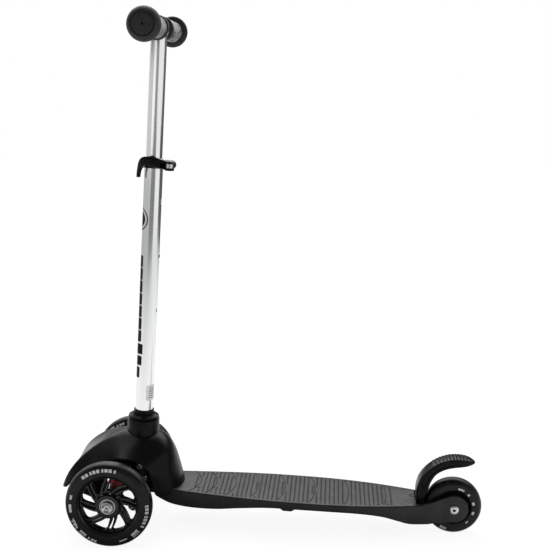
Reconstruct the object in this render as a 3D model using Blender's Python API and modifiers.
# Three-wheel kick scooter with lean steering, modelled for Blender 4.5 in metres, +Z up.
# The front points to -X and the left side to -Y. The floor is z = 0.
import math

import bmesh
import bpy
from mathutils import Matrix, Vector

# Overall sizes
WHEELBASE = 0.475
TRACK = 0.190                  # between the middles of the front tyres
FRONT_WHEEL_RADIUS = 0.060
REAR_WHEEL_RADIUS = 0.040
NOSE_OVERHANG = 0.0165         # hood's front edge ahead of the front tyres
BAR_HEIGHT = 0.697             # middle of the crossbar above the floor
BAR_WIDTH = 0.240
DECK_WIDTH = 0.101

# Fits
GAP = 0.0003                   # between neighbours that touch
RUN = 0.0020                   # beside what turns or swings

# Wheels
WHEEL_WIDTH = 0.024
FRONT_TYRE_DEPTH = 0.0168
REAR_TYRE_DEPTH = 0.0150
RIM_RING = 0.0034
FRONT_HUB_RADIUS = 0.0165
REAR_HUB_RADIUS = 0.0150
WEB_HALF = 0.0070
SPOKE_PAIRS = 8
BEARING_RADIUS = 0.0110
BEARING_WIDTH = 0.0070
BEARING_INSET = 0.0003
SPACER_RADIUS = 0.0060
AXLE_RADIUS = 0.0039
AXLE_HEAD_RADIUS = 0.0078
AXLE_HEAD_HEIGHT = 0.0042
FRONT_SIDES = 28
REAR_SIDES = 24
TUBE_SIDES = 24
BEARING_SIDES = 12

# Steering
KINGPIN_OFFSET = 0.031         # from the tyre's middle plane in to the kingpin
KINGPIN_TILT = math.radians(14)
KINGPIN_RADIUS = 0.0040
BARREL_RADIUS = 0.0090
BARREL_LOW = -0.0157           # along the kingpin, from the axle's height
BARREL_HIGH = 0.0137
BUSH_RADIUS = 0.0095
EAR_THICK = 0.0070
EAR_RADIUS = 0.0100
UPPER_EAR = 0.0350             # underside of the upper ear, along the kingpin
WEB_THICK = 0.0080
ARM_LENGTH = 0.0300
ARM_THICK = 0.0045             # steering arm, over the tie rod
ARM_HALF = 0.0062
TIE_ROD_THICK = 0.0040
TIE_ROD_NECK = 0.0042          # half of its width
TIE_ROD_EYE = 0.0066
TIE_ROD_CLEAR = 0.00123        # under the deck's tongue
TIE_PIN_RADIUS = 0.0025

# Stem
STEM_OFFSET = 0.0262           # stem's axis behind the front axle, at axle height
STEM_RAKE = 0.0491             # radians, leaning back
LOWER_TUBE_RADIUS = 0.0127
LOWER_TUBE_BORE = LOWER_TUBE_RADIUS - 0.0013
UPPER_TUBE_RADIUS = LOWER_TUBE_BORE - GAP
UPPER_TUBE_BORE = UPPER_TUBE_RADIUS - 0.0016
TUBE_FOOT = 0.0140             # tube's lower end above the front axle
TUBE_LENGTH = 0.4510
HOLE_PITCH = 0.0775
HOLE_RADIUS = 0.0036
MIDDLE_HOLE = 0.3290           # hole in use, above the front axle along the stem
BOSS_RADIUS = LOWER_TUBE_RADIUS + 0.0048
BOSS_TOP = 0.0675
SOCKET_BOTTOM = 0.0600
SOCKET_TOP = 0.0865
SOCKET_RADIUS = LOWER_TUBE_RADIUS + 0.0093
SOCKET_FLARE = 0.0020
SOCKET_WALL = 0.0028
COLLAR_TOP = 0.1062
COLLAR_FLARE = LOWER_TUBE_RADIUS + 0.0090
SHELL = 0.0025
COVER_SCREW = (0.0620, 0.0262)    # behind the front axle and to each side
COVER_POST_RADIUS = 0.0042
COVER_POST_DROP = 0.0067          # the posts end this far under the hood's cage
COVER_SCREW_RADIUS = 0.0017

TONGUE_DROP = 0.0075              # tongue's top under the deck's top
TONGUE_THICK = 0.0060
TONGUE_HALF = 0.0200
DECK_BOLT = (0.0640, 0.0110)      # behind the front axle and to each side
DECK_BOLT_RADIUS = 0.0025
STEM_BOLT_UP = 0.0260
STEM_BOLT_RADIUS = 0.0030

# Height clamp
CLAMP_HEIGHT = 0.0140
CLAMP_RADIUS = LOWER_TUBE_RADIUS + 0.0033
LEVER_PIVOT = (LOWER_TUBE_RADIUS + 0.0113, -0.0145)
LEVER_CAM = 0.0065
LEVER_THICK = 0.0050
LEVER_WRAP = LOWER_TUBE_RADIUS + 0.0083   # radius at which the lever wraps the tube
SKEWER_RADIUS = 0.0025

# Grips
GRIP_INNER_END = 0.0150
GRIP_RADIUS = UPPER_TUBE_RADIUS + 0.0035
GRIP_FLANGE = UPPER_TUBE_RADIUS + 0.0110
GRIP_SIDES = 18

# Deck
DECK_AT_HOOD = -0.0014         # deck's top against the front axle, at the hood's foot
DECK_AT_TAIL = 0.0078          # deck's top against the rear axle, at the brake
HOOD_FOOT = 0.0900             # hood's foot behind the front axle
DECK_TAIL = 0.0550             # brake's foot ahead of the rear axle
NOSE_START = 0.0500
NOSE_WIDTH = 0.0670
SKIN = 0.0040
SKIRT = 0.0030
RIB = 0.0024
FORK_ARM = 0.0045
ARM_ROUND = 0.0200
LUG_X = 0.0227                 # small foot under each edge of the deck
LUG_LENGTH = 0.0231
LUG_FLAT = 0.0115
LUG_WIDTH = 0.0060
LUG_DEPTH = 0.0036
GROOVE_RADIUS = 0.0012
GROOVE_FIRST = 0.1142          # first groove behind the front axle
GROOVE_STEP = 0.0230
GROOVE_GROWTH = 0.0050         # each step is this much longer than the last

# Rear brake
BRAKE_BARREL = 0.0050
BRAKE_CLEAR = 0.0025              # between the barrel and the tyre
BRAKE_AHEAD = REAR_WHEEL_RADIUS + BRAKE_CLEAR + BRAKE_BARREL   # pin ahead of the rear axle
BRAKE_HALF = 0.0130
PEDAL_TYRE = 0.0400               # tyre radius that the pedal's curves are drawn for
PEDAL_END = 0.0200                # length of its rounded tip
BRAKE_PIN_RADIUS = 0.0025
SPRING_WIRE = 0.0007
SPRING_RADIUS = 0.0046
SPRING_PITCH = 0.0019
SPRING_AT = 0.0097             # middle of the winding, to the right of the slot's middle

# Places that follow from the sizes above
LENGTH = NOSE_OVERHANG + FRONT_WHEEL_RADIUS + WHEELBASE + REAR_WHEEL_RADIUS
X_FRONT = -LENGTH / 2 + NOSE_OVERHANG + FRONT_WHEEL_RADIUS
X_REAR = X_FRONT + WHEELBASE
Z_FRONT = FRONT_WHEEL_RADIUS
Z_REAR = REAR_WHEEL_RADIUS
KINGPIN_Y = TRACK / 2 - KINGPIN_OFFSET
FORK_HALF = WHEEL_WIDTH / 2 + RUN - GAP + FORK_ARM
SLOT_HALF = FORK_HALF - FORK_ARM
DECK_FRONT_Z = Z_FRONT + DECK_AT_HOOD
DECK_TAIL_Z = Z_REAR + DECK_AT_TAIL
DECK_SLOPE = (DECK_FRONT_Z - DECK_TAIL_Z) / (WHEELBASE - HOOD_FOOT - DECK_TAIL)
TIE_ROD_FRONT = ARM_LENGTH - TIE_ROD_NECK
TONGUE_OVER_ROD = (DECK_AT_HOOD + DECK_SLOPE * (HOOD_FOOT - TIE_ROD_FRONT * math.cos(KINGPIN_TILT))
                   - TONGUE_DROP - TONGUE_THICK)
ROD_TOP = TONGUE_OVER_ROD - TIE_ROD_CLEAR + TIE_ROD_FRONT * math.sin(KINGPIN_TILT)
ARM_DROP = ROD_TOP / math.cos(KINGPIN_TILT) - TIE_ROD_THICK / 2     # tie rod's plane, along the kingpin
Z_AXIS = Vector((0, 0, 1))


def deck_top(x):
    """Height of the deck's top plane at x."""
    return DECK_FRONT_Z - DECK_SLOPE * (x - X_FRONT - HOOD_FOOT)


# Scene and materials

for old in list(bpy.data.objects):
    bpy.data.objects.remove(old, do_unlink=True)
parts = bpy.data.collections.new("kick_scooter")
cutters = bpy.data.collections.new("cutters")
bpy.context.scene.collection.children.link(parts)
bpy.context.scene.collection.children.link(cutters)


def make_material(name, colour, roughness, metallic=0.0):
    made = bpy.data.materials.new(name)
    made.use_nodes = True
    shader = made.node_tree.nodes["Principled BSDF"]
    shader.inputs["Base Color"].default_value = (*colour, 1.0)
    shader.inputs["Roughness"].default_value = roughness
    shader.inputs["Metallic"].default_value = metallic
    made.diffuse_color = (*colour, 1.0)
    return made


FINISHES = {
    "black_nylon": ((0.020, 0.020, 0.021), 0.42, 0.0),
    "deck_nylon": ((0.060, 0.060, 0.062), 0.55, 0.0),
    "tyre_urethane": ((0.016, 0.016, 0.017), 0.48, 0.0),
    "rim_nylon": ((0.010, 0.010, 0.011), 0.35, 0.0),
    "grip_rubber": ((0.024, 0.024, 0.025), 0.80, 0.0),
    "tube_aluminium": ((0.78, 0.79, 0.80), 0.18, 1.0),
    "cast_alloy": ((0.33, 0.33, 0.34), 0.45, 1.0),
    "zinc_steel": ((0.62, 0.62, 0.62), 0.28, 1.0),
    "spring_steel": ((0.20, 0.20, 0.21), 0.35, 1.0),
    "bearing_steel": ((0.55, 0.56, 0.57), 0.25, 1.0),
    "red_elastomer": ((0.34, 0.008, 0.012), 0.50, 0.0),
}


# Modelling helpers

def place(made, collection, parent=None, local=None):
    collection.objects.link(made)
    made.parent = parent
    if local is not None:
        made.matrix_local = local
    return made


def empty(name, matrix, parent=None):
    made = bpy.data.objects.new(name, None)
    made.empty_display_size = 0.02
    return place(made, parts, parent, matrix)


def finish(made, name, finish_name):
    """Names a part and gives it a material of its own."""
    made.name = name
    made.data.name = name
    made.data.materials.clear()
    made.data.materials.append(make_material(name, *FINISHES[finish_name]))
    return made


def face_outward(bm):
    bm.normal_update()
    bmesh.ops.recalc_face_normals(bm, faces=bm.faces)
    if bm.calc_volume(signed=True) < 0:
        bmesh.ops.reverse_faces(bm, faces=bm.faces)


def from_bmesh(bm, parent=None, local=None):
    mesh = bpy.data.meshes.new("mesh")
    face_outward(bm)
    bm.to_mesh(mesh)
    bm.free()
    return place(bpy.data.objects.new("mesh", mesh), parts, parent, local)


def box(low, high, parent=None):
    low, high = Vector(low), Vector(high)
    bm = bmesh.new()
    bmesh.ops.create_cube(bm, size=1.0)
    bmesh.ops.scale(bm, vec=high - low, verts=bm.verts)
    bmesh.ops.translate(bm, vec=(high + low) / 2, verts=bm.verts)
    return from_bmesh(bm, parent)


def rod(start, end, radius, sides=16, parent=None, far_radius=None):
    """A cylinder or cone between two points."""
    start, end = Vector(start), Vector(end)
    bm = bmesh.new()
    bmesh.ops.create_cone(bm, cap_ends=True, segments=sides, radius1=radius,
                          radius2=radius if far_radius is None else far_radius,
                          depth=(end - start).length)
    turn = Z_AXIS.rotation_difference(end - start).to_matrix().to_4x4()
    bm.transform(Matrix.Translation((start + end) / 2) @ turn)
    made = from_bmesh(bm, parent)
    made.data.shade_smooth()
    made.data.set_sharp_from_angle(angle=math.radians(35))
    return made


def turned(profile, sides, parent=None, local=None, closed=True):
    """A profile of (radius, height) turned about the local Z axis."""
    mesh = bpy.data.meshes.new("profile")
    count = len(profile)
    edges = [(i, (i + 1) % count) for i in range(count if closed else count - 1)]
    mesh.from_pydata([(r, 0.0, z) for r, z in profile], edges, [])
    made = place(bpy.data.objects.new("turned", mesh), parts, parent, local)
    screw = made.modifiers.new("turn", "SCREW")
    screw.steps = screw.render_steps = sides
    screw.use_merge_vertices = True
    screw.merge_threshold = 0.00005
    screw.use_smooth_shade = False
    return made


def plate(outlines, thickness, parent=None, frame=None, bevel=0.0):
    """Flat outlines, the first with the others as holes, thickened about their own plane."""
    curve = bpy.data.curves.new("outline", "CURVE")
    curve.dimensions = "2D"
    curve.fill_mode = "BOTH"
    curve.extrude = thickness / 2 - bevel
    curve.bevel_depth = bevel
    curve.bevel_resolution = 0
    curve.offset = -bevel
    for outline in outlines:
        spline = curve.splines.new("POLY")
        spline.points.add(len(outline) - 1)
        for point, (x, y) in zip(spline.points, outline):
            point.co = (x, y, 0.0, 1.0)
        spline.use_cyclic_u = True
    return solid_from_curve(curve, parent, frame)


def solid_from_curve(curve, parent=None, frame=None):
    """A closed mesh from a curve, its caps welded on."""
    guide = place(bpy.data.objects.new("guide", curve), parts)
    depsgraph = bpy.context.evaluated_depsgraph_get()
    mesh = bpy.data.meshes.new_from_object(guide.evaluated_get(depsgraph))
    bpy.data.objects.remove(guide, do_unlink=True)
    bm = bmesh.new()
    bm.from_mesh(mesh)
    bmesh.ops.remove_doubles(bm, verts=bm.verts, dist=0.00002)
    if frame is not None:
        bm.transform(frame)
    face_outward(bm)
    bm.to_mesh(mesh)
    bm.free()
    made = place(bpy.data.objects.new("solid", mesh), parts, parent)
    mesh.shade_smooth()
    mesh.set_sharp_from_angle(angle=math.radians(35))
    return made


def wire(points, radius, parent=None, sides_level=1, cyclic=False):
    """A round wire through points."""
    curve = bpy.data.curves.new("wire", "CURVE")
    curve.dimensions = "3D"
    curve.bevel_depth = radius
    curve.bevel_resolution = sides_level
    curve.use_fill_caps = True
    spline = curve.splines.new("POLY")
    spline.points.add(len(points) - 1)
    for point, place_at in zip(spline.points, points):
        point.co = (*place_at, 1.0)
    spline.use_cyclic_u = cyclic
    return solid_from_curve(curve, parent)


def merge_meshes(pieces):
    """Loose solids in one cutter, so that one Boolean takes them all."""
    bm = bmesh.new()
    for piece in pieces:
        bm.from_mesh(piece.data)
    parent = pieces[0].parent
    for piece in pieces:
        bpy.data.objects.remove(piece, do_unlink=True)
    return from_bmesh(bm, parent)


def operate(target, tool, operation):
    for collection in list(tool.users_collection):
        collection.objects.unlink(tool)
    cutters.objects.link(tool)
    tool.hide_render = True
    tool.display_type = "WIRE"
    tool.name = "tool_for_" + target.name
    boolean = target.modifiers.new(operation.lower(), "BOOLEAN")
    boolean.object = tool
    boolean.operation = operation
    boolean.solver = "EXACT"
    return target


def cut(target, *tools):
    for tool in tools:
        operate(target, tool, "DIFFERENCE")
    return target


def join(target, *tools):
    for tool in tools:
        operate(target, tool, "UNION")
    return target


def common(target, tool):
    return operate(target, tool, "INTERSECT")


def arc(centre, radius, start, end, steps):
    """Points on an arc, angles in degrees."""
    points = []
    for i in range(steps + 1):
        angle = math.radians(start + (end - start) * i / steps)
        points.append((centre[0] + radius * math.cos(angle), centre[1] + radius * math.sin(angle)))
    return points


def smooth_through(points, steps):
    """A Catmull-Rom curve through a few points."""
    padded = [points[0], *points, points[-1]]
    out = []
    for a, b, c, d in zip(padded, padded[1:], padded[2:], padded[3:]):
        for i in range(steps):
            t = i / steps
            out.append(tuple(0.5 * ((2 * q) + (r - p) * t + (2 * p - 5 * q + 4 * r - s) * t * t
                                    + (3 * q - p - 3 * r + s) * t ** 3)
                             for p, q, r, s in zip(a, b, c, d)))
    out.append(tuple(points[-1]))
    return out


def across_flats(radius, sides):
    """Corner radius of a polygon whose flats lie at the given radius."""
    return radius / math.cos(math.pi / sides)


def turn_z(angle):
    return Matrix.Rotation(angle, 4, "Z")


# Plate frames: an outline's x and y go to these two axes
SIDE = Matrix(((1, 0, 0, 0), (0, 0, -1, 0), (0, 1, 0, 0), (0, 0, 0, 1)))     # to X and Z
FACE = Matrix(((0, 0, 1, 0), (1, 0, 0, 0), (0, 1, 0, 0), (0, 0, 0, 1)))      # to Y and Z


def hex_socket(depth, flats, top, parent=None):
    """Cutter for a hexagon recess that opens at height top."""
    corner = flats / math.sqrt(3)
    return rod((0, 0, top - depth), (0, 0, top + 0.01), corner, 6, parent)


def hex_nut(name, base, height, flats, bore, parent):
    made = rod((0, 0, base), (0, 0, base + height), flats / math.sqrt(3), 6, parent)
    cut(made, rod((0, 0, base - 0.01), (0, 0, base + height + 0.01), bore, 12, parent))
    return finish(made, name, "zinc_steel")


def button_bolt(name, seat, reach, shank, head, height, socket, parent, sides=12):
    """A bolt along local Z: its head stands on the plane seat, its shank goes down by reach."""
    profile = [(0, seat + height), (head * 0.55, seat + height * 0.93), (head * 0.9, seat + height * 0.55),
               (head, seat), (shank, seat), (shank, seat - reach), (0, seat - reach)]
    made = turned(profile, sides, parent, closed=False)
    cut(made, hex_socket(height * 0.62, socket, seat + height, parent))
    return finish(made, name, "zinc_steel")


# Wheels

def tyre(name, radius, depth, sides, parent):
    """Urethane tyre, cast over its rim, with a flat of the polygon on the floor."""
    half = WHEEL_WIDTH / 2
    inner = radius - depth
    profile = [(inner, half * 0.92), (radius - depth * 0.45, half), (radius - depth * 0.11, half * 0.72),
               (radius, half * 0.24)]
    profile += [(r, -z) for r, z in reversed(profile)]
    scale = across_flats(1.0, sides)
    made = turned([(r * scale, z) for r, z in profile], sides, parent, turn_z(math.pi / sides))
    return finish(made, name, "tyre_urethane")


def rim_blank(radius, hub, sides, parent):
    """Hub, web and ring turned in one, with a seat for each bearing."""
    half = WHEEL_WIDTH / 2
    ring = radius - RIM_RING
    seat = BEARING_RADIUS + GAP
    floor = half - BEARING_INSET - BEARING_WIDTH - GAP
    shoulder = seat - 0.0025
    profile = [(radius, half * 0.85), (radius, -half * 0.85), (ring, -WEB_HALF), (hub + 0.001, -WEB_HALF),
               (hub, -half), (seat, -half), (seat, -floor), (shoulder, -floor), (shoulder, floor),
               (seat, floor), (seat, half), (hub, half), (hub + 0.001, WEB_HALF), (ring, WEB_HALF)]
    scale = across_flats(1.0, sides)
    return turned([(r * scale if r > hub + 0.005 else r, z) for r, z in profile], sides, parent,
                  turn_z(math.pi / sides))


def swept(radius, angle, low, high, sweep):
    """A point of a swept spoke: its angle grows with its radius."""
    turn = angle + sweep * max((radius - low) / (high - low), 0.0) ** 0.8
    return radius * math.cos(turn), radius * math.sin(turn)


def pinwheel_opening(low, high, centre, narrow, wide, sweep, steps, parent):
    """One swept opening, narrow towards the hub and wide towards the ring."""
    left, right = [], []
    for i in range(steps + 1):
        t = i / steps
        radius = low + (high - low) * t
        half = narrow + (wide - narrow) * math.sin(t * math.pi / 2)
        left.append(swept(radius, centre - half, low, high, sweep))
        right.append(swept(radius, centre + half, low, high, sweep))
    tip = swept(low - 0.0012, centre, low, high, sweep)
    crown = swept(high + 0.0009, centre, low, high, sweep)
    return plate([[tip, *left, crown, *reversed(right)]], WHEEL_WIDTH, parent)


def front_rim(name, radius, parent, hand):
    """Pinwheel rim: wide swept openings between pairs of thin spokes."""
    made = rim_blank(radius, FRONT_HUB_RADIUS, FRONT_SIDES, parent)
    low, high = FRONT_HUB_RADIUS + 0.0040, radius - RIM_RING - 0.0022
    sweep = hand * math.radians(26)
    pitch = 2 * math.pi / SPOKE_PAIRS
    openings = []
    for i in range(SPOKE_PAIRS):
        openings.append(pinwheel_opening(low, high, i * pitch, 0.13, 0.235, sweep, 3, parent))
        openings.append(pinwheel_opening(low, high, (i + 0.5) * pitch, 0.060, 0.055, sweep, 2, parent))
    cut(made, merge_meshes(openings))
    return finish(made, name, "rim_nylon")


def rear_rim(name, radius, parent):
    made = rim_blank(radius, REAR_HUB_RADIUS, REAR_SIDES, parent)
    return finish(made, name, "rim_nylon")


def bearing(name, outward, shown, parent):
    """A sealed ball bearing; where it shows, its shield is set back between the two races."""
    half = BEARING_WIDTH / 2
    profile = [(BEARING_RADIUS, half), (BEARING_RADIUS, -half), (AXLE_RADIUS + GAP, -half),
               (AXLE_RADIUS + GAP, half)]
    if shown:
        profile += [(SPACER_RADIUS, half), (SPACER_RADIUS + 0.0004, half - 0.0005),
                    (BEARING_RADIUS - 0.0017, half - 0.0005), (BEARING_RADIUS - 0.0013, half)]
    low = min(outward, outward - math.copysign(BEARING_WIDTH, outward))
    local = Matrix.Translation((0, 0, low + half))
    if outward < 0:
        local = local @ Matrix.Rotation(math.pi, 4, "X")
    return finish(turned(profile, BEARING_SIDES, parent, local), name, "bearing_steel")


def bearing_spacer(name, parent):
    half = WHEEL_WIDTH / 2 - BEARING_INSET - BEARING_WIDTH - GAP
    profile = [(SPACER_RADIUS, half), (SPACER_RADIUS, -half),
               (AXLE_RADIUS + GAP, -half), (AXLE_RADIUS + GAP, half)]
    return finish(turned(profile, 10, parent), name, "zinc_steel")


def wheel(side, radius, depth, sides, parent, hand=1):
    """Tyre, rim, two bearings and the spacer between them, on the axle's empty."""
    face = WHEEL_WIDTH / 2 - BEARING_INSET
    tyre(side + "_tyre", radius, depth, sides, parent)
    rim_radius = radius - depth - GAP
    if side == "rear":
        rear_rim("rear_rim", rim_radius, parent)
        names = ("rear_left_bearing", "rear_right_bearing")
    else:
        front_rim(side + "_rim", rim_radius, parent, hand)
        names = (side + "_outer_bearing", side + "_inner_bearing")
    bearing(names[0], face, side != "rear", parent)
    bearing(names[1], -face, False, parent)
    bearing_spacer(side + "_bearing_spacer", parent)


# Steering, built once for each side: hand is -1 on the left and +1 on the right

KINGPIN_FRAME = Matrix.Translation((X_FRONT, 0, Z_FRONT)) @ Matrix.Rotation(KINGPIN_TILT, 4, "Y")


def steering_side(side, hand):
    """Kingpin hardware, knuckle and wheel of one side."""
    fixed = empty(side + "_kingpin_axis", KINGPIN_FRAME @ Matrix.Translation((0, hand * KINGPIN_Y, 0)))
    steer = empty(side + "_steer", Matrix.Identity(4), fixed)
    ear_top = UPPER_EAR + EAR_THICK
    lower_ear = BARREL_LOW - GAP - EAR_THICK

    button_bolt(side + "_kingpin", ear_top + GAP, ear_top - lower_ear + 0.0085, KINGPIN_RADIUS,
                0.0068, 0.0038, 0.0050, fixed)
    nut_low = lower_ear - GAP - 0.0065
    hex_nut(side + "_kingpin_nut", nut_low, 0.0065, 0.0130, KINGPIN_RADIUS + GAP, fixed)
    bush_low, bush_high = BARREL_HIGH + GAP, UPPER_EAR - GAP
    waist = (bush_low + bush_high) / 2
    profile = [(BUSH_RADIUS, bush_high), (BUSH_RADIUS, waist + 0.003), (BUSH_RADIUS - 0.0014, waist),
               (BUSH_RADIUS, waist - 0.003), (BUSH_RADIUS, bush_low),
               (KINGPIN_RADIUS + GAP, bush_low), (KINGPIN_RADIUS + GAP, bush_high)]
    finish(turned(profile, 12, fixed), side + "_steering_bush", "red_elastomer")

    knuckle(side, hand, steer)

    # The wheel's axis is level, so its empty takes the kingpin's tilt away again
    outward = Matrix.Rotation(-hand * math.pi / 2, 4, "X")
    level = Matrix.Rotation(-KINGPIN_TILT, 4, "Y")
    middle = Matrix.Translation((0, hand * KINGPIN_OFFSET, 0))
    axle = empty(side + "_wheel_axis", level @ middle @ outward, steer)
    seat = WHEEL_WIDTH / 2
    button_bolt(side + "_axle_bolt", seat, seat + KINGPIN_OFFSET - KINGPIN_RADIUS - 0.0016, AXLE_RADIUS,
                AXLE_HEAD_RADIUS, AXLE_HEAD_HEIGHT, 0.0060, axle, 16)
    wheel(side, FRONT_WHEEL_RADIUS, FRONT_TYRE_DEPTH, FRONT_SIDES, axle, hand)
    return steer


def knuckle(side, hand, steer):
    """Barrel on the kingpin, boss for the axle bolt and arm for the tie rod, cast in one."""
    made = rod((0, 0, BARREL_LOW), (0, 0, BARREL_HIGH), BARREL_RADIUS, 16, steer)
    level = Matrix.Rotation(-KINGPIN_TILT, 4, "Y")
    face = KINGPIN_OFFSET - WHEEL_WIDTH / 2 + BEARING_INSET - GAP
    root = Vector((0, hand * 0.002, 0))
    nose = level @ Vector((0, hand * (face - 0.0016), 0))
    tip = level @ Vector((0, hand * face, 0))
    join(made, rod(root, nose, BARREL_RADIUS * 0.94, 14, steer))
    join(made, rod(root, tip, SPACER_RADIUS, 12, steer))
    half = TIE_ROD_THICK / 2 + GAP
    arm_top = ARM_DROP + half + ARM_THICK
    join(made, box((0, -ARM_HALF, ARM_DROP + half), (ARM_LENGTH, ARM_HALF, arm_top), steer))
    join(made, rod((ARM_LENGTH, 0, ARM_DROP + half), (ARM_LENGTH, 0, arm_top), ARM_HALF, 12, steer))
    gusset_low = arm_top - 0.001
    gusset = [(0.002, gusset_low), (BARREL_RADIUS + 0.014, gusset_low), (0.002, BARREL_HIGH - 0.004)]
    join(made, plate([gusset], 0.0044, steer, SIDE))
    cut(made, rod((0, 0, BARREL_LOW - 0.01), (0, 0, BARREL_HIGH + 0.01), KINGPIN_RADIUS + GAP, 12, steer))
    bolt_end = level @ Vector((0, hand * (KINGPIN_RADIUS + 0.0012), 0))
    cut(made, rod(bolt_end, tip * 1.5, AXLE_RADIUS + GAP, 12, steer))
    pin_hole = TIE_PIN_RADIUS + GAP
    cut(made, rod((ARM_LENGTH, 0, ARM_DROP), (ARM_LENGTH, 0, arm_top + 0.01), pin_hole, 12, steer))
    return finish(made, side + "_knuckle", "cast_alloy")


def tie_rod(left_steer, right_steer):
    """Flat rod that keeps both knuckles parallel; its right eye is a loose fit."""
    rod_frame = empty("tie_rod_axis", Matrix.Translation((ARM_LENGTH, 0, 0)), left_steer)
    span = 2 * KINGPIN_Y
    half = TIE_ROD_THICK / 2
    bar = box((-TIE_ROD_NECK, 0, ARM_DROP - half), (TIE_ROD_NECK, span, ARM_DROP + half), rod_frame)
    for y in (0, span):
        join(bar, rod((0, y, ARM_DROP - half), (0, y, ARM_DROP + half), TIE_ROD_EYE, 16, rod_frame))
    for y, bore in ((0, TIE_PIN_RADIUS + GAP), (span, TIE_PIN_RADIUS + 0.0006)):
        cut(bar, rod((0, y, ARM_DROP - 0.01), (0, y, ARM_DROP + 0.01), bore, 12, rod_frame))
    finish(bar, "tie_rod", "zinc_steel")
    arm_top = ARM_DROP + half + GAP + ARM_THICK
    low = ARM_DROP - half - GAP
    for side, steer in (("left", left_steer), ("right", right_steer)):
        profile = [(0, arm_top + 0.0002), (TIE_PIN_RADIUS, arm_top), (TIE_PIN_RADIUS, low),
                   (0.0042, low), (0.0038, low - 0.0020), (0, low - 0.0022)]
        local = Matrix.Translation((ARM_LENGTH, 0, 0))
        finish(turned(profile, 12, steer, local, closed=False), side + "_tie_rod_pin", "zinc_steel")


# Front bridge and stem

STEM_FRAME = (Matrix.Translation((X_FRONT + STEM_OFFSET, 0, Z_FRONT))
              @ Matrix.Rotation(math.atan(STEM_RAKE), 4, "Y"))


def front_bridge(root, stem, deck_frame):
    """Cast crossmember: an ear above and below each barrel, the stem's boss and the deck's tongue."""
    tilted = empty("bridge_frame", KINGPIN_FRAME, root)
    low = BARREL_LOW - GAP
    inner = KINGPIN_Y - BARREL_RADIUS - RUN
    end = KINGPIN_Y + 2 * EAR_RADIUS
    top = UPPER_EAR + EAR_THICK
    web = inner - WEB_THICK
    side = [(end, top), (end, UPPER_EAR), (inner, UPPER_EAR), (inner, low), (end, low),
            (end, low - EAR_THICK), (web, low - EAR_THICK), (web, 0.0080), (web - 0.008, 0.0150)]
    outline = side + [(-y, z) for y, z in reversed(side)]
    made = plate([outline], 4 * EAR_RADIUS, tilted, FACE)
    plan = arc((0, KINGPIN_Y), EAR_RADIUS, 0, 180, 6) + arc((0, -KINGPIN_Y), EAR_RADIUS, 180, 360, 6)
    common(made, plate([plan], 0.2, tilted))
    boss_low = 0.0085
    join(made, rod((0, 0, boss_low), (0, 0, BOSS_TOP), BOSS_RADIUS, 20, stem))
    tongue_top, tongue_low = -TONGUE_DROP, -TONGUE_DROP - TONGUE_THICK
    start, end = X_FRONT + STEM_OFFSET - 0.008, X_FRONT + HOOD_FOOT + 0.012
    join(made, box((start, -TONGUE_HALF, tongue_low), (end, TONGUE_HALF, tongue_top), deck_frame))
    rib_x = X_FRONT + STEM_OFFSET
    nose, boss = X_FRONT + NOSE_START, rib_x + BOSS_RADIUS
    rib = [(rib_x, tongue_top - 0.001), (nose - 0.0016, tongue_top - 0.001),
           (nose - 0.0033, tongue_top + 0.004),
           (boss - 0.0025, 0.028), (rib_x, 0.028)]
    join(made, plate([rib], 0.0060, deck_frame, SIDE))
    seat = LOWER_TUBE_RADIUS + GAP
    cut(made, rod((0, 0, TUBE_FOOT - GAP), (0, 0, BOSS_TOP + 0.02), seat, TUBE_SIDES, stem))
    cut(made, rod((0, 0, -0.02), (0, 0, TUBE_FOOT + 0.01), LOWER_TUBE_BORE - 0.0025, 12, stem))
    for hand in (-1, 1):
        y = hand * KINGPIN_Y
        cut(made, rod((0, y, low - EAR_THICK - 0.01), (0, y, top + 0.01), KINGPIN_RADIUS + GAP, 12, tilted))
        x = X_FRONT + DECK_BOLT[0]
        y = hand * DECK_BOLT[1]
        hole = DECK_BOLT_RADIUS + GAP
        cut(made, rod((x, y, tongue_low - 0.01), (x, y, tongue_top + 0.003), hole, 12, deck_frame))
    reach = BOSS_RADIUS + 0.02
    cut(made, rod((0, -reach, STEM_BOLT_UP), (0, reach, STEM_BOLT_UP), STEM_BOLT_RADIUS + GAP, 12, stem))
    return finish(made, "front_bridge", "cast_alloy")


def stem_tube(stem):
    """Lower tube: three height holes at the back, a slit under the clamp, a cross hole at the foot."""
    profile = [(LOWER_TUBE_RADIUS, TUBE_FOOT + TUBE_LENGTH), (LOWER_TUBE_RADIUS, TUBE_FOOT),
               (LOWER_TUBE_BORE, TUBE_FOOT), (LOWER_TUBE_BORE, TUBE_FOOT + TUBE_LENGTH)]
    made = turned(profile, TUBE_SIDES, stem)
    for step in (-1, 0, 1):
        z = MIDDLE_HOLE + step * HOLE_PITCH
        cut(made, rod((0, 0, z), (0.03, 0, z), HOLE_RADIUS, 12, stem))
    top = TUBE_FOOT + TUBE_LENGTH
    slit = box((0, -0.0014, top - 0.0270), (0.03, 0.0014, top + 0.01), stem)
    slit.matrix_local = turn_z(math.radians(-133))
    cut(made, slit)
    cut(made, rod((0, -0.03, STEM_BOLT_UP), (0, 0.03, STEM_BOLT_UP), STEM_BOLT_RADIUS + GAP, 12, stem))
    return finish(made, "lower_tube", "tube_aluminium")


def stem_bolt(stem):
    across = empty("stem_bolt_axis",
                   Matrix.Translation((0, 0, STEM_BOLT_UP)) @ Matrix.Rotation(math.pi / 2, 4, "X"), stem)
    seat = BOSS_RADIUS + GAP
    button_bolt("stem_bolt", seat, 2 * seat + 0.0058, STEM_BOLT_RADIUS, 0.0055, 0.0032, 0.0040, across, 12)
    hex_nut("stem_nut", -seat - 0.0052, 0.0050, 0.0100, STEM_BOLT_RADIUS + GAP, across)


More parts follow.
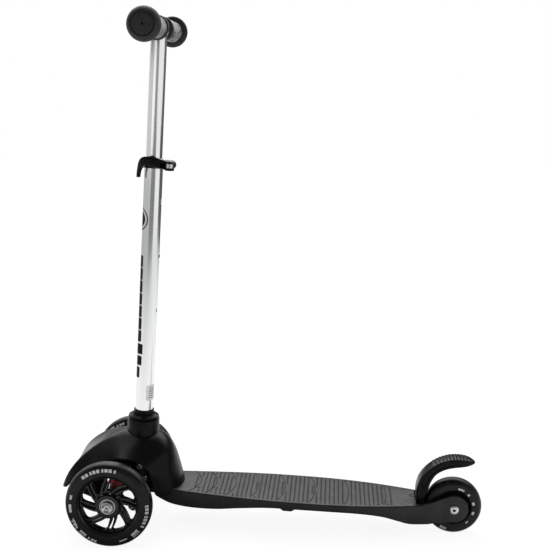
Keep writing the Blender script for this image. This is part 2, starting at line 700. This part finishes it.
def stem_collar(stem):
    """Flared collar that closes the gap between the socket and the tube."""
    low, rim = SOCKET_TOP + GAP, SOCKET_TOP + 0.0032
    inner = LOWER_TUBE_RADIUS + GAP
    waist = smooth_through([(inner + 0.0014, COLLAR_TOP), (inner + 0.0022, COLLAR_TOP - 0.0045),
                            (COLLAR_FLARE - 0.0022, rim + 0.0088), (COLLAR_FLARE, rim + 0.0060)], 1)
    profile = [*waist, (COLLAR_FLARE - 0.0006, rim + 0.0005), (COLLAR_FLARE - 0.0018, rim),
               (COLLAR_FLARE - 0.0036, rim), (COLLAR_FLARE - 0.0036, low), (inner, low), (inner, COLLAR_TOP)]
    return finish(turned(profile, TUBE_SIDES, stem), "stem_collar", "black_nylon")


# The hood's cage, from the front edge back to its foot. Each row runs from the middle to the side
# lip: behind the front axle, share of the lip's half width, above the front axle.
HOOD_LIP = KINGPIN_Y - 0.0035
HOOD_ROWS = (
    ((-0.0755, 0.00, 0.0060), (-0.0760, 0.45, 0.0060), (-0.0768, 0.83, 0.0050), (-0.0745, 0.94, 0.0055),
     (-0.0705, 1.00, 0.0060)),
    ((-0.0685, 0.00, 0.0225), (-0.0690, 0.43, 0.0230), (-0.0702, 0.80, 0.0240), (-0.0630, 0.93, 0.0225),
     (-0.0560, 1.00, 0.0225)),
    ((-0.0515, 0.00, 0.0430), (-0.0520, 0.36, 0.0435), (-0.0540, 0.63, 0.0440), (-0.0420, 0.86, 0.0395),
     (-0.0300, 1.00, 0.0415)),
    ((-0.0270, 0.00, 0.0625), (-0.0270, 0.23, 0.0625), (-0.0285, 0.42, 0.0630), (-0.0180, 0.75, 0.0560),
     (-0.0060, 1.00, 0.0500)),
    ((-0.0050, 0.00, 0.0740), (-0.0045, 0.14, 0.0740), (-0.0040, 0.25, 0.0725), (0.0060, 0.70, 0.0610),
     (0.0140, 1.00, 0.0520)),
    ((0.0280, 0.00, 0.0790), (0.0280, 0.22, 0.0780), (0.0290, 0.45, 0.0710), (0.0310, 0.75, 0.0590),
     (0.0330, 0.97, 0.0480)),
    ((0.0560, 0.00, 0.0720), (0.0560, 0.22, 0.0710), (0.0550, 0.44, 0.0660), (0.0520, 0.71, 0.0510),
     (0.0480, 0.91, 0.0350)),
    ((0.0710, 0.00, 0.0590), (0.0700, 0.22, 0.0580), (0.0670, 0.45, 0.0520), (0.0600, 0.71, 0.0370),
     (0.0530, 0.87, 0.0210)),
    ((0.0800, 0.00, 0.0380), (0.0795, 0.23, 0.0375), (0.0745, 0.48, 0.0330), (0.0640, 0.71, 0.0220),
     (0.0540, 0.84, 0.0090)),
)
HOOD_RIDGE = (0.9, 0.8, 0.5, 0.2)      # how sharp the ridge between bonnet and side is, row by row
# The last row: behind the front axle, share of the half width, below the deck's top.
FOOT_ROW = ((0.0912, 0.00, 0.004), (0.0896, 0.25, 0.004), (0.0825, 0.50, 0.004), (0.0700, 0.69, 0.007),
            (0.0550, 0.82, 0.010))


def hood_cage():
    """Rows of points, front to rear: behind the front axle, to the side and above the axle."""
    stretch = (FRONT_WHEEL_RADIUS + NOSE_OVERHANG) / max(-x for x, share, z in HOOD_ROWS[0])
    rows = [[(x * stretch if x < 0 else x, share * HOOD_LIP, z) for x, share, z in row] for row in HOOD_ROWS]
    foot = [(x, share * HOOD_LIP, deck_top(X_FRONT + x) - drop - Z_FRONT) for x, share, drop in FOOT_ROW]
    rows.append(foot)
    return rows


def between(points, key, value, at):
    """Reads one coordinate of a row of points where another has the value at."""
    for start, end in zip(points, points[1:]):
        if start[key] <= at <= end[key]:
            share = (at - start[key]) / (end[key] - start[key])
            return start[value] + (end[value] - start[value]) * share
    return points[-1][value]


def post_top():
    """Top of the hood's screw posts above the deck, under the cage at the post's rear side."""
    x, y = COVER_SCREW[0] + COVER_POST_RADIUS, COVER_SCREW[1]
    line = [(between(row, 1, 0, y), between(row, 1, 2, y)) for row in hood_cage()]
    return Z_FRONT + between(line, 0, 1, x) - COVER_POST_DROP - deck_top(X_FRONT + x)


def front_cover(root, stem, deck_frame):
    """Moulded hood: a coarse cage with Subdivision Surface and a wall, plus the turned socket."""
    rows = hood_cage()
    bm = bmesh.new()
    grid = [[bm.verts.new((X_FRONT + x, y, Z_FRONT + z)) for x, y, z in row] for row in rows]
    for front, back in zip(grid, grid[1:]):
        for i in range(len(front) - 1):
            bm.faces.new((front[i], back[i], back[i + 1], front[i + 1]))
    crease = bm.edges.layers.float.new("crease_edge")
    for front, back, sharp in zip(grid, grid[1:], HOOD_RIDGE):
        bm.edges.get((front[2], back[2]))[crease] = sharp
    mesh = bpy.data.meshes.new("hood")
    bm.to_mesh(mesh)
    bm.free()
    mesh.shade_smooth()
    hood = place(bpy.data.objects.new("hood", mesh), parts, root)
    mirror = hood.modifiers.new("mirror", "MIRROR")
    mirror.use_axis = (False, True, False)
    mirror.merge_threshold = 0.00005
    soften = hood.modifiers.new("soften", "SUBSURF")
    soften.levels = soften.render_levels = 1
    wall = hood.modifiers.new("wall", "SOLIDIFY")
    wall.thickness = SHELL
    wall.offset = -1.0
    cut(hood, rod((0, 0, 0.03), (0, 0, 0.12), SOCKET_RADIUS - 0.0008, 24, stem))
    inner = LOWER_TUBE_RADIUS + GAP
    flare = SOCKET_RADIUS + SOCKET_FLARE
    under = SOCKET_TOP - 0.0040
    profile = [(SOCKET_RADIUS, SOCKET_TOP), (flare, SOCKET_BOTTOM), (flare - SOCKET_WALL, SOCKET_BOTTOM),
               (SOCKET_RADIUS - SOCKET_WALL, under), (inner, under), (inner, SOCKET_TOP)]
    join(hood, turned(profile, TUBE_SIDES, stem))
    for hand in (-1, 1):
        x, y = X_FRONT + COVER_SCREW[0], hand * COVER_SCREW[1]
        join(hood, rod((x, y, -0.001), (x, y, post_top()), COVER_POST_RADIUS, 8, deck_frame))
    cut(hood, plate([deck_outline(-2 * GAP)], 0.06, deck_frame, Matrix.Translation((0, 0, GAP - 0.03))))
    for hand in (-1, 1):
        x, y = X_FRONT + COVER_SCREW[0], hand * COVER_SCREW[1]
        cut(hood, rod((x, y, -0.01), (x, y, 0.0125), COVER_SCREW_RADIUS + GAP, 8, deck_frame))
    return finish(hood, "front_cover", "black_nylon")


# Height clamp

CLAMP_MIDDLE = TUBE_FOOT + TUBE_LENGTH - 0.0010 - CLAMP_HEIGHT / 2


def lever_path(along, outward):
    """Wraps a point of the flat lever round the tube: straight from the pivot, then an arc."""
    pivot = Vector(LEVER_PIVOT)
    reach = pivot.length
    straight = math.sqrt(reach ** 2 - LEVER_WRAP ** 2)
    touch = math.atan2(pivot.y, pivot.x) - math.acos(LEVER_WRAP / reach)
    contact = LEVER_WRAP * Vector((math.cos(touch), math.sin(touch)))
    if along <= straight:
        forward = (contact - pivot).normalized()
        side = Vector((math.cos(touch), math.sin(touch)))
        return pivot + forward * along + side * outward
    angle = touch - (along - straight) / LEVER_WRAP
    return (LEVER_WRAP + outward) * Vector((math.cos(angle), math.sin(angle)))


def clamp(stem):
    """Split collar with two ears, the skewer with its barrel, the nut and the wrapped cam lever."""
    low, high = CLAMP_MIDDLE - CLAMP_HEIGHT / 2, CLAMP_MIDDLE + CLAMP_HEIGHT / 2
    bore = LOWER_TUBE_RADIUS + GAP
    profile = [(CLAMP_RADIUS, high), (CLAMP_RADIUS, low), (bore, low), (bore, high)]
    collar = turned(profile, TUBE_SIDES, stem)
    ear_face = -LEVER_PIVOT[1] - LEVER_CAM - GAP
    ear_half = CLAMP_HEIGHT / 2 - 0.001
    ear_low, ear_high = CLAMP_MIDDLE - ear_half, CLAMP_MIDDLE + ear_half
    x = LEVER_PIVOT[0]
    outline = [(bore + 0.0012, ear_low), (x, ear_low), *arc((x, CLAMP_MIDDLE), ear_half, -90, 90, 6),
               (bore + 0.0012, ear_high)]
    join(collar, plate([outline], 2 * ear_face, stem, SIDE))
    cut(collar, box((0, -0.0012, low - 0.01), (0.05, 0.0012, high + 0.01), stem))
    cut(collar, rod((0, 0, low - 0.01), (0, 0, high + 0.01), bore, TUBE_SIDES, stem))
    across = SKEWER_RADIUS + GAP
    cut(collar, rod((x, -0.03, CLAMP_MIDDLE), (x, 0.03, CLAMP_MIDDLE), across, 12, stem))
    finish(collar, "clamp_collar", "black_nylon")

    nut_seat = ear_face + GAP
    pivot = (x, LEVER_PIVOT[1])
    skewer = rod((x, pivot[1], CLAMP_MIDDLE), (x, nut_seat + 0.0052, CLAMP_MIDDLE), SKEWER_RADIUS, 12, stem)
    barrel_half, cross_pin = 0.0032, 0.0018
    for half, radius in ((barrel_half, 0.0046), (0.0066, cross_pin)):
        join(skewer, rod((*pivot, CLAMP_MIDDLE - half), (*pivot, CLAMP_MIDDLE + half), radius, 16, stem))
    finish(skewer, "clamp_skewer", "zinc_steel")
    nut_frame = empty("clamp_nut_axis",
                      Matrix.Translation((x, 0, CLAMP_MIDDLE)) @ Matrix.Rotation(-math.pi / 2, 4, "X"), stem)
    hex_nut("clamp_nut", nut_seat, 0.0050, 0.0090, SKEWER_RADIUS + GAP, nut_frame)

    swing = empty("clamp_lever_axis", Matrix.Translation((*pivot, CLAMP_MIDDLE)), stem)
    upper = smooth_through([(-0.0062, 0.0052), (0.0020, 0.0062), (0.0100, 0.0100), (0.0180, 0.0128),
                            (0.0255, 0.0134), (0.0330, 0.0122), (0.0400, 0.0092), (0.0455, 0.0035),
                            (0.0500, -0.0050), (0.0528, -0.0125), (0.0522, -0.0162)], 2)
    lower = smooth_through([(-0.0062, -0.0066), (0.0020, -0.0062), (0.0100, -0.0046), (0.0180, -0.0028),
                            (0.0250, -0.0016), (0.0310, -0.0020), (0.0368, -0.0036), (0.0415, -0.0060),
                            (0.0455, -0.0092), (0.0485, -0.0132), (0.0500, -0.0160)], 2)
    half = LEVER_THICK / 2
    bm = bmesh.new()
    rings = []
    for high, low in zip(upper, lower):
        high, low = Vector(high), Vector(low)
        chamfer = min(0.0011 / (high - low).length, 0.3)
        ring = []
        for share, outward in ((0, -half), (0, half - 0.0011), (chamfer, half), (1 - chamfer, half),
                               (1, half - 0.0011), (1, -half)):
            along, up = low.lerp(high, share)
            at = lever_path(along, outward)
            ring.append(bm.verts.new((at.x - pivot[0], at.y - pivot[1], up)))
        rings.append(ring)
    for ring, after in zip(rings, rings[1:]):
        for i in range(6):
            bm.faces.new((ring[i], ring[i - 1], after[i - 1], after[i]))
    bm.faces.new(rings[0])
    bm.faces.new(reversed(rings[-1]))
    flat = from_bmesh(bm, swing)
    join(flat, rod((0, 0, -0.0064), (0, 0, 0.0058), LEVER_CAM, 16, swing))
    slot = barrel_half + GAP
    cut(flat, box((-0.0080, -0.0110, -slot), (0.02, 0.0200, slot), swing))
    cut(flat, rod((0, 0, -0.02), (0, 0, 0.02), cross_pin + GAP, 16, swing))
    return finish(flat, "clamp_lever", "black_nylon")


# Handlebar

BAR_UP = (BAR_HEIGHT - Z_FRONT) / math.cos(math.atan(STEM_RAKE))


def handlebar(stem):
    """Welded T-bar, its grips and the sprung height button, all on the sliding frame."""
    slide = empty("height_slide", Matrix.Identity(4), stem)
    foot = MIDDLE_HOLE - 0.0330
    half = BAR_WIDTH / 2 - 0.0050
    made = rod((0, 0, foot), (0, 0, BAR_UP), UPPER_TUBE_RADIUS, TUBE_SIDES, slide)
    join(made, rod((0, -half, BAR_UP), (0, half, BAR_UP), UPPER_TUBE_RADIUS + 0.0001, TUBE_SIDES, slide))
    cut(made, rod((0, 0, foot - 0.01), (0, 0, BAR_UP), UPPER_TUBE_BORE, 20, slide))
    cut(made, rod((0, -half - 0.01, BAR_UP), (0, half + 0.01, BAR_UP), UPPER_TUBE_BORE, 20, slide))
    cut(made, rod((0, 0, MIDDLE_HOLE), (0.03, 0, MIDDLE_HOLE), HOLE_RADIUS, 12, slide))
    finish(made, "handlebar", "tube_aluminium")
    for side, hand in (("left", -1), ("right", 1)):
        outward = empty(side + "_grip_axis", Matrix.Translation((0, 0, BAR_UP))
                        @ Matrix.Rotation(-hand * math.pi / 2, 4, "X"), slide)
        grip(side + "_grip", outward)
    button_clip(slide)


def grip(name, parent):
    """Rubber grip: ring at the inner end, slim body and a fat round flange with a closed end."""
    end, bore = BAR_WIDTH / 2, UPPER_TUBE_RADIUS + 0.0001 + GAP
    body, flange = GRIP_RADIUS, GRIP_FLANGE
    donut = [(flange * 0.62, end), (flange * 0.83, end - 0.0008), (flange * 0.97, end - 0.0040),
             (flange, end - 0.0075), (flange * 0.94, end - 0.0115), (flange * 0.78, end - 0.0140)]
    profile = [(0.0012, end - 0.0008), (flange * 0.50, end - 0.0005), (flange * 0.54, end - 0.0014),
               *donut, (body, end - 0.0170),
               (body, GRIP_INNER_END + 0.0090), (body + 0.0018, GRIP_INNER_END + 0.0065),
               (body + 0.0018, GRIP_INNER_END + 0.0030), (body + 0.0006, GRIP_INNER_END),
               (bore, GRIP_INNER_END), (bore, end - 0.0048), (0.0012, end - 0.0048)]
    return finish(turned(profile, GRIP_SIDES, parent), name, "grip_rubber")


def button_clip(slide):
    """V-shaped strip spring inside the upper tube, with the button riveted to one leg."""
    z = MIDDLE_HOLE
    width = 0.0040
    wide = UPPER_TUBE_BORE - 0.0020
    leg = [(-wide, z + 0.0060), (0.0009 - wide, z + 0.0060), (-0.0010, z - 0.0230), (0.0002, z - 0.0245),
           (0.0014, z - 0.0230), (wide - 0.0015, z + 0.0050), (wide - 0.0007, z + 0.0050),
           (0.0024, z - 0.0240), (0.0002, z - 0.0258), (-0.0018, z - 0.0240)]
    made = plate([leg], 2 * width, slide, SIDE)
    reach = LOWER_TUBE_RADIUS + 0.0012
    join(made, rod((wide - 0.0013, 0, z), (reach - 0.0006, 0, z), HOLE_RADIUS - GAP, 12, slide))
    return finish(made, "height_button_clip", "spring_steel")


# Deck

def deck_half_width(x):
    """Half width of the deck's top outline: it swells from the nose and narrows into the fork."""
    start, widest, end = X_FRONT + NOSE_START + 0.012, 0.030, X_REAR - 0.015
    full, nose = DECK_WIDTH / 2, NOSE_WIDTH / 2
    if x < widest:
        return nose + (full - nose) * math.sin(math.pi / 2 * (x - start) / (widest - start))
    t = min((x - widest) / (end - widest), 1.0)
    return full - (full - FORK_HALF) * (1 - math.cos(math.pi / 2 * t ** 1.3))


def deck_outline(inset=0.0, tail=-0.033):
    """Plan of the deck in its own frame, anticlockwise."""
    front = X_FRONT + NOSE_START + inset
    corner = 0.012
    start = X_FRONT + NOSE_START + corner
    end = X_REAR + tail
    nose = NOSE_WIDTH / 2 - inset
    side = [(front, 0.0), (front, nose - corner), (front + corner * 0.3, nose - corner * 0.3)]
    steps = 14
    for i in range(steps + 1):
        x = start + (end - start) * i / steps
        side.append((x, deck_half_width(x) - inset))
    return [(x, -y) for x, y in side[1:]] + [(x, y) for x, y in reversed(side[1:])]


def deck_belly():
    """Lower edge of the skirt as (x, depth under the top), front to rear."""
    nose, tail = X_FRONT, X_REAR
    return smooth_through([(nose + 0.048, -0.0100), (nose + 0.062, -0.0165), (nose + 0.078, -0.0215),
                           (nose + 0.105, -0.0232), (nose + 0.140, -0.0210), (nose + 0.175, -0.0155),
                           (nose + 0.215, -0.0108), (0.040, -0.0098), (tail - 0.165, -0.0100),
                           (tail - 0.130, -0.0115), (tail - 0.100, -0.0155), (tail - 0.078, -0.0220),
                           (tail - 0.060, -0.0270), (tail - 0.030, -0.0285)], 2)


def deck(deck_frame):
    """Moulded tray: plan and side outlines crossed, hollowed between ribs, with fork arms and grooves."""
    depth = 0.045
    made = plate([deck_outline()], 2 * depth, deck_frame, Matrix.Translation((0, 0, -depth)), bevel=0.0016)
    belly = deck_belly()
    side = [(belly[0][0] - 0.01, 0.02), (belly[0][0] - 0.01, belly[0][1]), *belly,
            (belly[-1][0] + 0.01, belly[-1][1]), (belly[-1][0] + 0.01, 0.02)]
    common(made, plate([side], DECK_WIDTH + 0.04, deck_frame, SIDE))

    hollow = plate([deck_outline(SKIRT, -0.066)], 0.10, deck_frame, Matrix.Translation((0, 0, -0.05 - SKIN)))
    cells = []
    start, end = X_FRONT + NOSE_START, X_REAR - 0.0700
    columns = 5
    pitch = (end - start) / columns
    rows = (-DECK_WIDTH / 2, 0.0, DECK_WIDTH / 2)
    for i in range(columns):
        x = start + i * pitch
        for low, high in zip(rows, rows[1:]):
            cells.append(box((x + RIB / 2, low + RIB / 2, -0.2), (x + pitch - RIB / 2, high - RIB / 2, 0.1),
                             deck_frame))
    cut(made, common(hollow, merge_meshes(cells)))

    pad = TONGUE_DROP + TONGUE_THICK
    join(made, box((X_FRONT + NOSE_START + 0.001, -TONGUE_HALF - SKIRT, -pad),
                   (X_FRONT + HOOD_FOOT + 0.012 + SKIRT, TONGUE_HALF + SKIRT, -SKIN / 2), deck_frame))
    edge = between(belly, 0, 1, LUG_X)
    side = [(-LUG_LENGTH / 2, -SKIN / 2), (-LUG_LENGTH / 2, edge), (-LUG_FLAT / 2, edge - LUG_DEPTH)]
    side = [(LUG_X + x, z) for x, z in side] + [(LUG_X - x, z) for x, z in reversed(side)]
    for hand in (-1, 1):
        at = Matrix.Translation((0, hand * (deck_half_width(LUG_X) - LUG_WIDTH / 2 - 0.0005), 0))
        join(made, plate([side], LUG_WIDTH, deck_frame, at @ SIDE))
    fork(made, deck_frame)
    tongue = box((X_FRONT, -TONGUE_HALF - GAP, -TONGUE_DROP - TONGUE_THICK - 0.03),
                 (X_FRONT + HOOD_FOOT + 0.012 + GAP, TONGUE_HALF + GAP, -TONGUE_DROP + GAP), deck_frame)
    cut(made, tongue)
    for hand in (-1, 1):
        x, y = X_FRONT + DECK_BOLT[0], hand * DECK_BOLT[1]
        cut(made, rod((x, y, -0.03), (x, y, 0.01), DECK_BOLT_RADIUS + GAP, 12, deck_frame))
        x, y = X_FRONT + COVER_SCREW[0], hand * COVER_SCREW[1]
        cut(made, rod((x, y, -SKIN - 0.002), (x, y, 0.01), COVER_SCREW_RADIUS + GAP, 8, deck_frame))
    cut(made, merge_meshes(grooves(deck_frame)))
    return finish(made, "deck", "deck_nylon")


def fork(made, deck_frame):
    """Slot for the rear wheel and an arm on each side of it, rounded about the axle."""
    to_deck = deck_frame.matrix_basis.inverted()
    axle = to_deck @ Vector((X_REAR, 0, Z_REAR))
    hinge = to_deck @ Vector((X_REAR - BRAKE_AHEAD, 0, Z_REAR))
    outline = [(axle.x - 0.034, -0.0284), (axle.x - 0.066, -0.0240), (axle.x - 0.066, axle.z + 0.003),
               *smooth_through([(axle.x - 0.052, axle.z + 0.0055), (axle.x - 0.038, axle.z + 0.0078),
                                (axle.x - 0.024, axle.z + 0.0122), (axle.x - 0.011, axle.z + 0.0170)], 2),
               *arc((axle.x, axle.z), ARM_ROUND, 100, -75, 10), (axle.x - 0.020, axle.z - 0.0222)]
    steps = 7
    root, tail = axle.x - 0.066, axle.x + 0.03
    plan = [root + (axle.x - 0.012 - root) * i / steps for i in range(steps + 1)]
    plan.append(tail)
    outer = [(x, deck_half_width(x)) for x in plan]
    arms = plate([[(x, -y) for x, y in outer] + [(x, y) for x, y in reversed(outer)]], 0.10, deck_frame)
    join(made, common(arms, plate([outline], DECK_WIDTH, deck_frame, SIDE)))
    slot_front = hinge.x - BRAKE_BARREL - 0.0013
    plan = [slot_front + (axle.x - 0.012 - slot_front) * i / steps for i in range(steps + 1)]
    plan.append(axle.x + 0.06)
    inner = [(x, max(deck_half_width(x) - FORK_ARM, SLOT_HALF)) for x in plan]
    cut(made, plate([[(x, -y) for x, y in inner] + [(x, y) for x, y in reversed(inner)]], 0.16, deck_frame))
    for hand in (-1, 1):
        face, root, outside = hand * WHEEL_WIDTH / 2, hand * (SLOT_HALF + 0.002), hand * (FORK_HALF + 0.01)
        join(made, rod((axle.x, face, axle.z), (axle.x, root, axle.z), SPACER_RADIUS, 14, deck_frame))
        cut(made, rod((axle.x, 0, axle.z), (axle.x, outside, axle.z), AXLE_RADIUS + GAP, 14, deck_frame))
        lug, wall = hand * SLOT_HALF, hand * (deck_half_width(hinge.x) - FORK_ARM / 2)
        join(made, rod((hinge.x, lug, hinge.z), (hinge.x, wall, hinge.z), BRAKE_BARREL, 12, deck_frame))
        blind, pin = hand * (FORK_HALF - 0.0015), BRAKE_PIN_RADIUS + GAP
        cut(made, rod((hinge.x, 0, hinge.z), (hinge.x, blind, hinge.z), pin, 12, deck_frame))


def grooves(deck_frame):
    """Curved grooves across the top, bowed rearwards, wider apart towards the rear."""
    made = []
    x = X_FRONT + GROOVE_FIRST
    step = GROOVE_STEP
    last = X_REAR - 0.085
    while x < last:
        share = (x - X_FRONT - GROOVE_FIRST) / (last - X_FRONT - GROOVE_FIRST)
        half = deck_half_width(x) - 0.0050
        bow = 0.0130 - 0.0095 * share
        points = [(x - bow * (i / 3) ** 2, half * i / 3, GROOVE_RADIUS * 0.35) for i in range(-3, 4)]
        made.append(wire(points, GROOVE_RADIUS, deck_frame, 0))
        x += step
        step += GROOVE_GROWTH
    return made


def deck_bolts(deck_frame):
    """Bolts through deck and tongue, and screws up from the deck's pockets into the hood's posts."""
    for side, hand in (("left", -1), ("right", 1)):
        at = Matrix.Translation((X_FRONT + COVER_SCREW[0], hand * COVER_SCREW[1], 0))
        frame = empty(side + "_cover_screw_axis", at @ Matrix.Rotation(math.pi, 4, "X"), deck_frame)
        button_bolt(side + "_cover_screw", SKIN + GAP, SKIN + 0.0115, COVER_SCREW_RADIUS, 0.0031, 0.0020,
                    0.0020, frame, 10)
        frame = empty(side + "_deck_bolt_axis",
                      Matrix.Translation((X_FRONT + DECK_BOLT[0], hand * DECK_BOLT[1], 0)), deck_frame)
        button_bolt(side + "_deck_bolt", GAP, TONGUE_DROP + TONGUE_THICK, DECK_BOLT_RADIUS, 0.0048, 0.0028,
                    0.0030, frame, 12)


# Rear axle and brake

def rear_axle(root):
    axis = empty("rear_axle_axis",
                 Matrix.Translation((X_REAR, 0, Z_REAR)) @ Matrix.Rotation(math.pi / 2, 4, "X"), root)
    seat = FORK_HALF + GAP
    head = AXLE_HEAD_RADIUS * 0.9
    button_bolt("rear_axle_bolt", seat, 2 * seat + 0.0070, AXLE_RADIUS, head, 0.0036, 0.0050, axis, 16)
    hex_nut("rear_axle_nut", -seat - 0.0062, 0.0060, 0.0130, AXLE_RADIUS + GAP, axis)
    spin = empty("rear_wheel_axis", Matrix.Identity(4), axis)
    wheel("rear", REAR_WHEEL_RADIUS, REAR_TYRE_DEPTH, REAR_SIDES, spin)


def over_tyre(points):
    """Points drawn about the brake's pin for one size of tyre, moved out from the axle to suit this one."""
    moved = []
    for x, z in points:
        arm = Vector((x - PEDAL_TYRE - BRAKE_CLEAR - BRAKE_BARREL, z))
        arm = arm * (1 + (REAR_WHEEL_RADIUS - PEDAL_TYRE) / arm.length)
        moved.append((arm.x + BRAKE_AHEAD, arm.y))
    return moved


def rear_brake(root):
    """Curved pedal over the rear wheel: a thick root, a ribbed crown and a thin rounded tip."""
    x, side = X_REAR - BRAKE_AHEAD, FORK_HALF - 0.0020
    finish(rod((x, -side, Z_REAR), (x, side, Z_REAR), BRAKE_PIN_RADIUS, 12, root), "brake_pin", "zinc_steel")
    press = empty("brake_axis", Matrix.Translation((x, 0, Z_REAR)), root)
    back = over_tyre([(-0.0050, 0.0000), (-0.0052, 0.0100), (-0.0040, 0.0270), (0.0012, 0.0405),
                      (0.0120, 0.0532), (0.0250, 0.0625), (0.0380, 0.0675), (0.0480, 0.0692),
                      (0.0580, 0.0692), (0.0680, 0.0680), (0.0755, 0.0655)])
    front = over_tyre([(0.0748, 0.0640), (0.0690, 0.0625), (0.0580, 0.0604), (0.0420, 0.0578),
                       (0.0305, 0.0538), (0.0210, 0.0470), (0.0145, 0.0360), (0.0105, 0.0230),
                       (0.0065, 0.0110), (0.0046, 0.0020)])
    base = arc((0, 0), BRAKE_BARREL, 0, -180, 6)
    crown = smooth_through(back, 2)
    made = plate([[*crown, *smooth_through(front, 2), *base[1:-1]]], 2 * BRAKE_HALF, press, SIDE)
    tip = crown[-1][0] + 0.0005
    start, round_half, wide = tip - PEDAL_END, 0.0115, BRAKE_HALF + 0.0170
    plan = [(-0.02, -wide), (start, -wide), (start, -BRAKE_HALF - 0.001),
            *arc((tip - round_half, 0), round_half, -70, 70, 6), (start, BRAKE_HALF + 0.001), (start, wide),
            (-0.02, wide)]
    common(made, plate([plan], 0.20, press))
    channel = over_tyre([(-0.0005, 0.0200), (0.0045, 0.0360), (0.0150, 0.0490), (0.0280, 0.0585),
                         (0.0420, 0.0635), (0.0560, 0.0650)])
    inner = over_tyre([(0.0560, 0.0640), (0.0420, 0.0612), (0.0310, 0.0565), (0.0200, 0.0475),
                       (0.0110, 0.0340), (0.0055, 0.0200)])
    sides = [*smooth_through(channel, 2), *smooth_through(inner, 2)]
    for hand in (-1, 1):
        frame = Matrix.Translation((0, hand * BRAKE_HALF, 0)) @ SIDE
        cut(made, plate([sides], 0.0030, press, frame))
    ribs = []
    for i in range(7):
        along = crown[-1][0] - 0.0530 + 0.0045 * i
        height = between(crown, 0, 1, along) + 0.0007
        ribs.append(rod((along, -wide, height), (along, wide, height), 0.0012, 8, press))
    cut(made, merge_meshes(ribs))
    cut(made, rod((0, -0.03, 0), (0, 0.03, 0), BRAKE_PIN_RADIUS + GAP, 12, press))
    cut(made, box((-0.0080, SPRING_AT - 0.0037, -0.0080), (0.0090, BRAKE_HALF + 0.003, 0.0102), press))
    finish(made, "rear_brake", "black_nylon")


def brake_spring(root):
    """Torsion spring wound round the brake's pin, one leg on the deck and one under the pedal."""
    pivot = Vector((X_REAR - BRAKE_AHEAD, 0, Z_REAR))
    start, end, step = 62, 120 - 3 * 360, -36
    turns = (start - end) / 360
    coil = []
    for angle in [*range(start, end, step), end]:
        turned_by = (start - angle) / 360
        spot = math.radians(angle)
        along = SPRING_AT + SPRING_PITCH * (turned_by - turns / 2)
        coil.append(Vector((SPRING_RADIUS * math.cos(spot), along, SPRING_RADIUS * math.sin(spot))))
    closest = min((a - b).length for i, a in enumerate(coil) for b in coil[i + 8:]) - 2 * SPRING_WIRE
    print("least gap between the brake spring's turns, mm:", round(closest * 1000, 2))
    front, back = coil[0].y, coil[-1].y
    on_deck = [Vector((-0.0135, front, 0.0091)), Vector((-0.0082, front, 0.0100))]
    under_pedal = Vector((0.0062, back, 0.0089))
    points = [pivot + point for point in (*on_deck, *coil, under_pedal)]
    return finish(wire(points, SPRING_WIRE, root, 0), "brake_spring", "spring_steel")


# Assembly

def build():
    root = empty("scooter", Matrix.Identity(4))
    stem = empty("stem_axis", STEM_FRAME, root)
    deck_frame = empty("deck_frame", Matrix.Translation((0, 0, deck_top(0.0)))
                       @ Matrix.Rotation(math.atan(DECK_SLOPE), 4, "Y"), root)
    deck(deck_frame)
    deck_bolts(deck_frame)
    front_bridge(root, stem, deck_frame)
    front_cover(root, stem, deck_frame)
    stem_tube(stem)
    stem_bolt(stem)
    stem_collar(stem)
    clamp(stem)
    handlebar(stem)
    left = steering_side("left", -1)
    right = steering_side("right", 1)
    tie_rod(left, right)
    rear_axle(root)
    rear_brake(root)
    brake_spring(root)


build()
